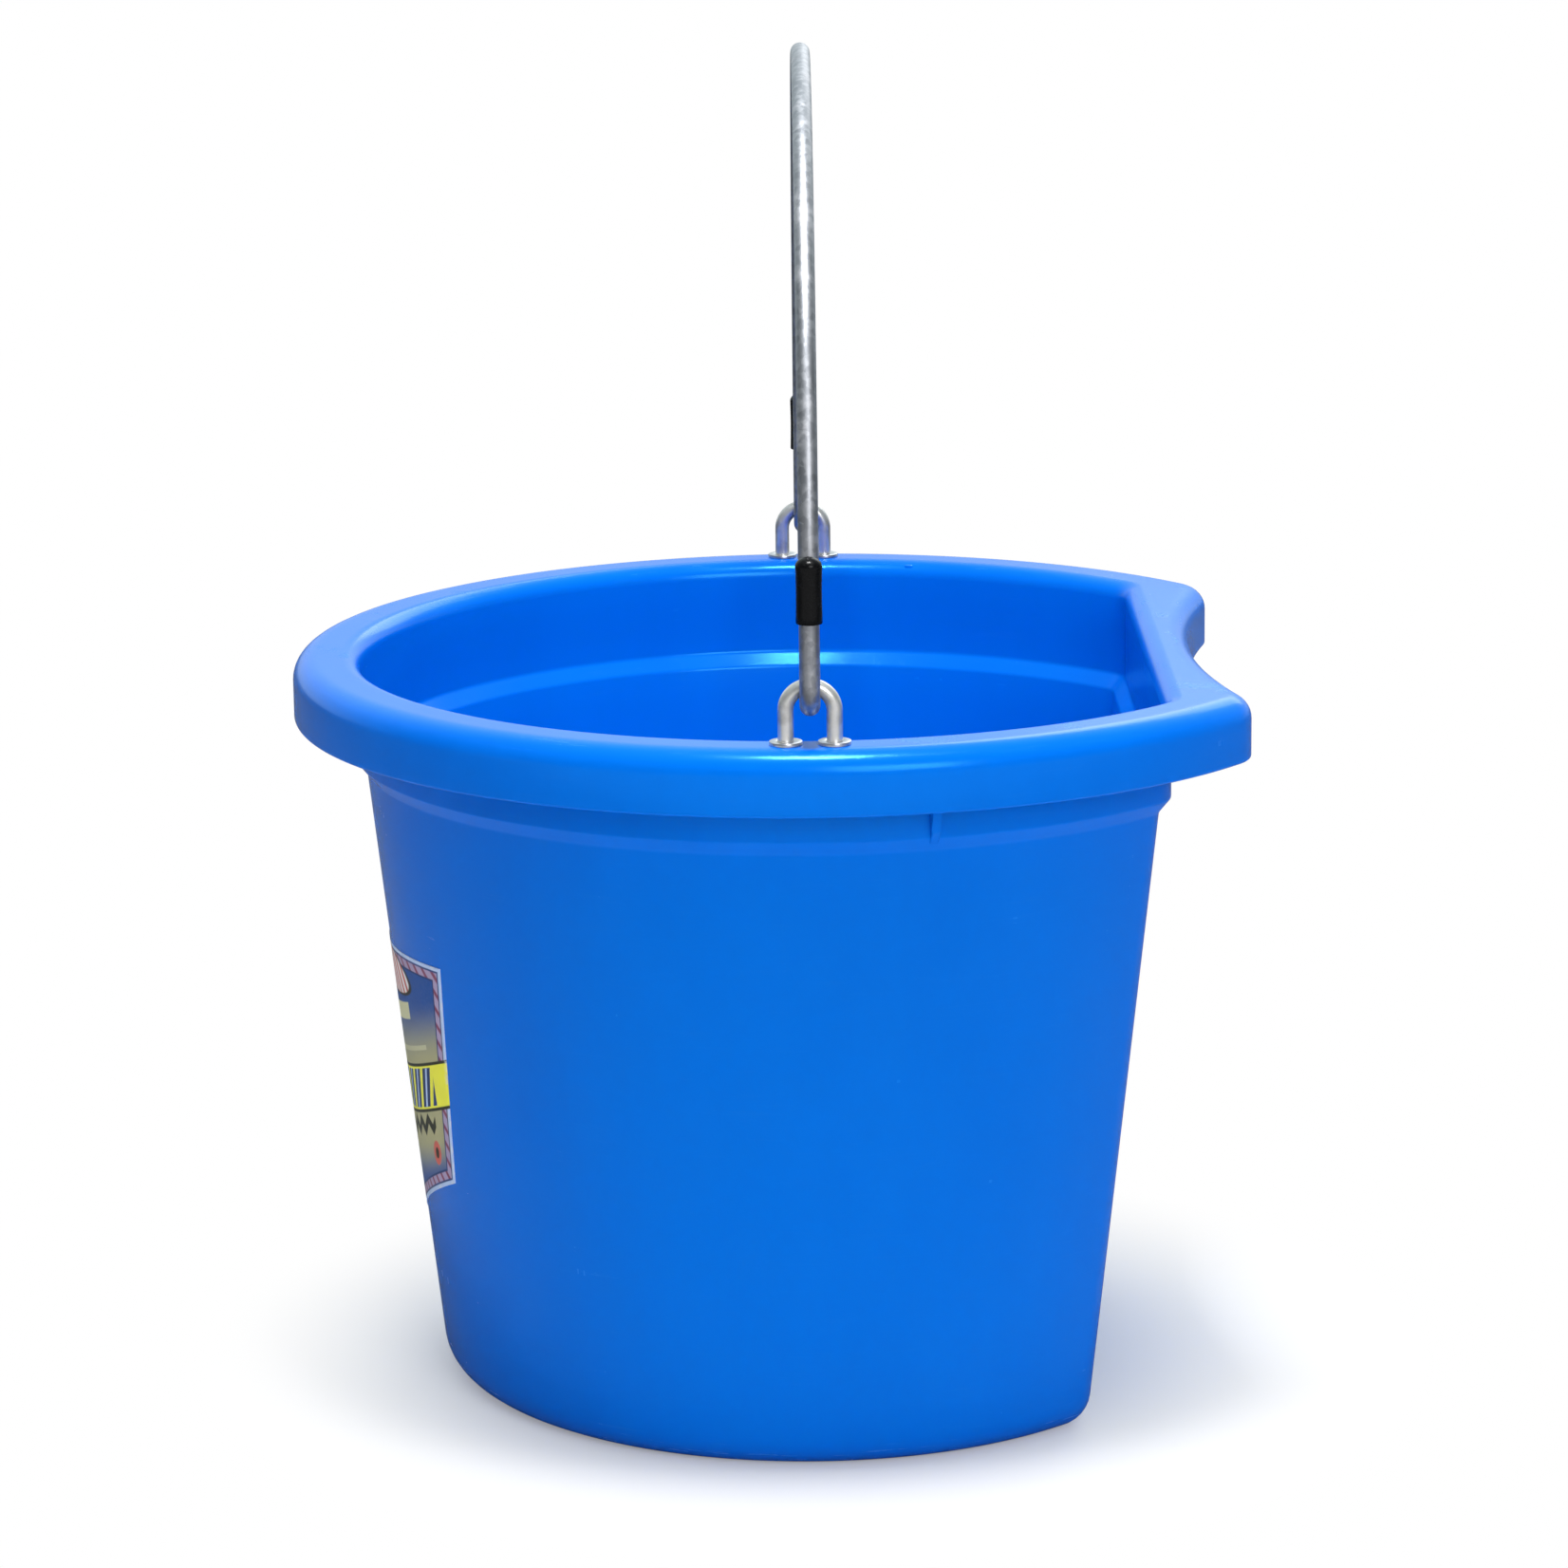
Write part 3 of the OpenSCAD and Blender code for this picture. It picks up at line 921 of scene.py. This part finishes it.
def makeLabelPrint():
    material, shader, start, place = newMaterial("labelPrint", {"Specular IOR Level": 0.22})
    size, band, art = labelSizes, labelBand, labelArt
    side = start.node("ShaderNodeSeparateXYZ", sockets={"Vector": place}, output=1) * (1 / mm)
    y = start.maths("ABSOLUTE", side)
    z = start.node("ShaderNodeSeparateXYZ", sockets={"Vector": place}, output=2) * (1 / mm)

    def inside(value, low, high, soft=0.25):
        return value.ramp(low - soft, low + soft) * (1 - value.ramp(high - soft, high + soft))

    half = size["lowWidth"] / 2 + (z - size["lowHeight"]) * labelLean
    share = y / half
    rise = size["lowHeight"] - size["tipHeight"]
    fromLow = (z - size["tipHeight"] - share * rise) * size["lowLean"]
    fromTop = size["topHeight"] - size["dip"] + share * size["dip"] - z
    edge = start.maths("MINIMUM", start.maths("MINIMUM", half - y, fromLow), fromTop)
    # the design sweeps up to both sides; level is the height at which its line meets them
    level = z + band["sweep"] * (1 - start.maths("POWER", share, band["sag"]))
    # the field: blue at the top, sandy beside the band, blue again at the tip
    sand = level.ramp(*art["blueToSand"]) * level.ramp(*art["sandToBlue"])
    colour = sand.blend(labelInk["sky"], labelInk["sand"])
    # hills along the lower field, and a row of small leaves under the band
    hill = (art["hills"] + start.maths("SINE", y * 0.11) * 4
            + start.maths("SINE", y * 0.047) * 5 - level)
    colour = (hill.ramp(0, 3.0) * 0.7).blend(colour, labelInk["navy"])
    tooth = start.maths("PINGPONG", y, art["leaf"])
    leaves = inside(level + tooth * 0.9, *art["leafRow"]) * inside(y, *art["leafSpan"])
    colour = leaves.blend(colour, labelInk["ink"])
    # a round spot with a dark core either side
    spot = start.maths("SQRT", start.maths("POWER", y - art["spotAcross"], 2.0)
                       + start.maths("POWER", (level - art["spotUp"]) * 0.8, 2.0))
    colour = (1 - spot.ramp(*art["spot"])).blend(colour, labelInk["red"])
    colour = (1 - spot.ramp(*art["spotCore"])).blend(colour, labelInk["ink"])
    # a wide and a thin plain bar on the upper field
    wide = inside(level, *art["wideBar"]) * inside(y, *art["wideSpan"])
    thin = inside(level, *art["thinBar"]) * inside(y, *art["thinSpan"])
    colour = (wide + thin * 0.6).blend(colour, labelInk["cream"])
    # dashed border and pale rim
    dash = start.maths("FRACT", (z + y * 0.9) / art["dash"])
    dashes = inside(dash, 0.30, 0.62, 0.08).blend(labelInk["lilac"], labelInk["crimson"])
    colour = inside(edge, 2.2, 5.6).blend(colour, dashes)
    colour = inside(edge, 5.4, 6.2).blend(colour, labelInk["navy"])
    colour = inside(edge, 1.6, 2.2).blend(colour, labelInk["navy"])
    colour = (1 - edge.ramp(1.3, 1.7)).blend(colour, labelInk["rim"])
    # the yellow band runs over the border, with a row of plain slanted blocks
    colour = inside(level, band["low"], band["high"], 0.2).blend(colour, labelInk["yellow"])
    middle = (band["low"] + band["high"]) / 2
    slant = start.maths("FRACT", (side + (level - middle) * 0.35) / band["block"])
    tall = inside(level, middle - band["blockHeight"] / 2, middle + band["blockHeight"] / 2)
    row = tall * (1 - y.ramp(*band["blockEnd"]))
    colour = (inside(slant, 0.10, 0.82, 0.02) * row).blend(colour, labelInk["navy"])
    colour = (inside(slant, 0.38, 0.54, 0.02) * row).blend(colour, labelInk["rim"])
    line = band["line"] / 2
    lines = (inside(level, band["low"] - line, band["low"] + line)
             + inside(level, band["high"] - line, band["high"] + line))
    colour = lines.blend(colour, labelInk["ink"])
    # the striped badge over the middle of the top edge
    reach = start.maths("POWER", y / (size["badgeWidth"] / 2), 2.0)
    lift = (z - size["badgeCentre"]) / (size["badgeHeight"] / 2)
    badge = start.maths("SQRT", reach + lift * lift)
    slope = start.maths("FRACT", (y + z * 0.8) / art["badgeStripe"])
    stripes = inside(slope, 0.05, 0.52, 0.05).blend(labelInk["white"], labelInk["red"])
    colour = (1 - badge.ramp(0.99, 1.02)).blend(colour, labelInk["ink"])
    colour = (1 - badge.ramp(0.93, 0.96)).blend(colour, stripes)
    # printing: faint ink mottle, and rubbed ink along the edge
    mottle = noise(start, place, 900, detail=2)
    rubbed = (1 - edge.ramp(0.0, 2.2)) * noise(start, place, 130, detail=5).ramp(0.52, 0.62)
    colour = (mottle.ramp(0.3, 0.9) * 0.04).blend(colour, labelInk["cream"])
    colour = (rubbed * 0.5).blend(colour, labelInk["white"])
    roughness = 0.40 + mottle * 0.03 + rubbed * 0.2
    ripple = noise(start, place, 40, detail=2)
    feed(shader, colour, roughness, bumped(start, ripple, 0.3, 0.12 * mm))
    return material


def makeLabel(material):
    # a thin closed sheet that follows the round wall
    size = labelSizes
    columns, rows = labelSteps["columns"], labelSteps["rows"]

    def sheetPoint(share, rise, lift):
        low = size["tipHeight"] + (size["lowHeight"] - size["tipHeight"]) * abs(share)
        y = share * size["topWidth"] / 2
        high = size["topHeight"] - size["dip"] * (1 - abs(share))
        if abs(y) < size["badgeWidth"] / 2:
            crest = size["badgeHeight"] / 2 * math.sqrt(1 - (2 * y / size["badgeWidth"]) ** 2)
            high = max(high, size["badgeCentre"] + crest)
        z = low + (high - low) * rise
        y = share * (size["lowWidth"] / 2 + labelLean * (z - size["lowHeight"]))
        radius = bucketSizes["baseRadius"] + wallSlope * z + lift
        return (-math.sqrt(radius ** 2 - y ** 2) * mm, y * mm, z * mm)

    points = []
    for lift in (0.0, size["thickness"]):
        points += [sheetPoint(2 * i / columns - 1, j / rows, lift)
                   for j in range(rows + 1) for i in range(columns + 1)]
    wide = columns + 1
    sheet = wide * (rows + 1)
    faces = []
    for j in range(rows):
        for i in range(columns):
            a = j * wide + i
            faces.append((a, a + 1, a + wide + 1, a + wide))
            faces.append(tuple(sheet + k for k in (a + wide, a + wide + 1, a + 1, a)))
    border = list(range(columns)) + [j * wide + columns for j in range(rows)]
    border += [rows * wide + i for i in range(columns, 0, -1)]
    border += [j * wide for j in range(rows, 0, -1)]
    for a, b in zip(border, border[1:] + border[:1]):
        faces.append((b, a, sheet + a, sheet + b))
    return joined("frontLabel", [meshFrom("labelSheet", points, faces)], material)


labelPrint = makeLabelPrint()
label = makeLabel(labelPrint)
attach(label, "bucket")
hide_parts("front_label")
print("label made")


stageLook = {
    "floor": (0.93, 0.93, 0.94, 1),
    "grain": (0.86, 0.86, 0.88, 1),
    "mirrored": (0.15, 0.15, 0.16, 1),     # what the floor shows in the bucket's shine
    "reach": 14.0,                         # metres of floor each way
    "fadeFrom": 0.08,                      # the floor brightens to white between these distances
    "fadeTo": 0.25,
    "front": 0.13,                         # light of the surroundings, towards each side
    "behind": 0.8,
    "above": 0.35,
    "behindSpan": (0.1, 0.8),              # where it grows from the front's light to the back's
    "aboveSpan": (0.2, 1.0),
    "skyTone": (0.84, 0.97, 1.0, 1),
    "glowFrom": 0.8,                       # in a reflection, floor this far in front is bright
    "glowTo": 1.15,
    "glow": 0.8,
}
lamps = {                                  # place, aim, width and height in metres, watts
    "overhead": ((0.02, -0.35, 1.55), (0.0, 0.05, 0.28), (0.24, 0.24), 22),
    "frontBox": ((0.85, -2.5, 1.35), (0.0, 0.0, 0.15), (1.2, 1.0), 27),
    "fillLeft": ((-2.2, -1.0, 1.0), (0.0, 0.0, 0.18), (1.0, 1.2), 0.3),
    "behind": ((0.9, 2.2, 1.6), (0.0, 0.0, 0.25), (1.6, 1.2), 11),
}
cameraSetup = {                            # metres and degrees
    "place": (-0.01095, -2.0196, 0.6921),
    "turn": 0.044,
    "down": 12.854,
    "lean": 0.675,                         # the camera is held this much clockwise
    "fieldOfView": 16.915,
}


def makeFloor():
    material, shader, start, place = newMaterial("palePaper", {})
    grain = noise(start, place, 60, detail=3)
    seen = start.node("ShaderNodeLightPath")
    shine = start.node("ShaderNodeLightPath", output=3)
    colour = (grain * 0.06).blend(stageLook["floor"], stageLook["grain"])
    colour = shine.blend(colour, stageLook["mirrored"])
    feed(shader, colour, 0.62 + grain * 0.1)
    distance = start.node("ShaderNodeVectorMath", {"operation": "LENGTH"}, {0: place}, output=1)
    white = start.node("ShaderNodeEmission", sockets={"Color": (1, 1, 1, 1), "Strength": 1.0})
    paper = Signal(material.node_tree, shader.outputs["BSDF"])
    ahead = start.node("ShaderNodeSeparateXYZ", sockets={"Vector": place}, output=1) * -1
    glow = ahead.ramp(stageLook["glowFrom"], stageLook["glowTo"]) * shine * stageLook["glow"]
    fade = distance.ramp(stageLook["fadeFrom"], stageLook["fadeTo"]) * seen + glow
    surface = start.node("ShaderNodeMixShader", sockets={0: fade, 1: paper, 2: white})
    result = material.node_tree.nodes["Material Output"]
    material.node_tree.links.new(surface.socket, result.inputs["Surface"])
    reach = stageLook["reach"]
    points = [(-reach, -reach, 0), (reach, -reach, 0), (reach, reach, 0), (-reach, reach, 0)]
    meshPiece("floorSheet", points, [(0, 1, 2, 3)], material)


def makeSurroundings():
    # plain white to look at; as light, bright behind the bucket and dimmer in front
    world = bpy.data.worlds.new("studio")
    bpy.context.scene.world = world
    world.use_nodes = True
    start = Signal(world.node_tree)
    direction = start.node("ShaderNodeTexCoord", output=0)
    along = start.node("ShaderNodeSeparateXYZ", sockets={"Vector": direction}, output=1)
    upwards = start.node("ShaderNodeSeparateXYZ", sockets={"Vector": direction}, output=2)
    gain = stageLook["behind"] - stageLook["front"]
    light = stageLook["front"] + along.ramp(*stageLook["behindSpan"]) * gain
    light = light + upwards.ramp(*stageLook["aboveSpan"]) * stageLook["above"]
    seen = start.node("ShaderNodeLightPath")
    strength = seen + (1 - seen) * light
    tone = seen.blend(stageLook["skyTone"], (1, 1, 1, 1))
    background = world.node_tree.nodes["Background"]
    world.node_tree.links.new(strength.socket, background.inputs["Strength"])
    world.node_tree.links.new(tone.socket, background.inputs["Color"])


def makeLamps():
    for name, (place, aim, size, watts) in lamps.items():
        lamp = bpy.data.lights.new(name, "AREA")
        lamp.shape = "RECTANGLE"
        lamp.size, lamp.size_y = size
        lamp.energy = watts
        holder = bpy.data.objects.new(name, lamp)
        facing = (Vector(aim) - Vector(place)).to_track_quat("-Z", "Y")
        holder.matrix_world = Matrix.Translation(place) @ facing.to_matrix().to_4x4()
        bpy.context.scene.collection.objects.link(holder)


def makeCamera():
    setup = cameraSetup
    data = bpy.data.cameras.new("camera")
    data.angle = math.radians(setup["fieldOfView"])
    camera = bpy.data.objects.new("camera", data)
    camera.matrix_world = (Matrix.Translation(setup["place"])
                           @ Matrix.Rotation(-math.radians(setup["turn"]), 4, "Z")
                           @ Matrix.Rotation(math.radians(90 - setup["down"]), 4, "X")
                           @ Matrix.Rotation(-math.radians(setup["lean"]), 4, "Z"))
    bpy.context.scene.collection.objects.link(camera)
    bpy.context.scene.camera = camera


makeFloor()
makeSurroundings()
makeLamps()
makeCamera()
bpy.context.scene.view_settings.view_transform = "Standard"
print("stage, lights and camera set")
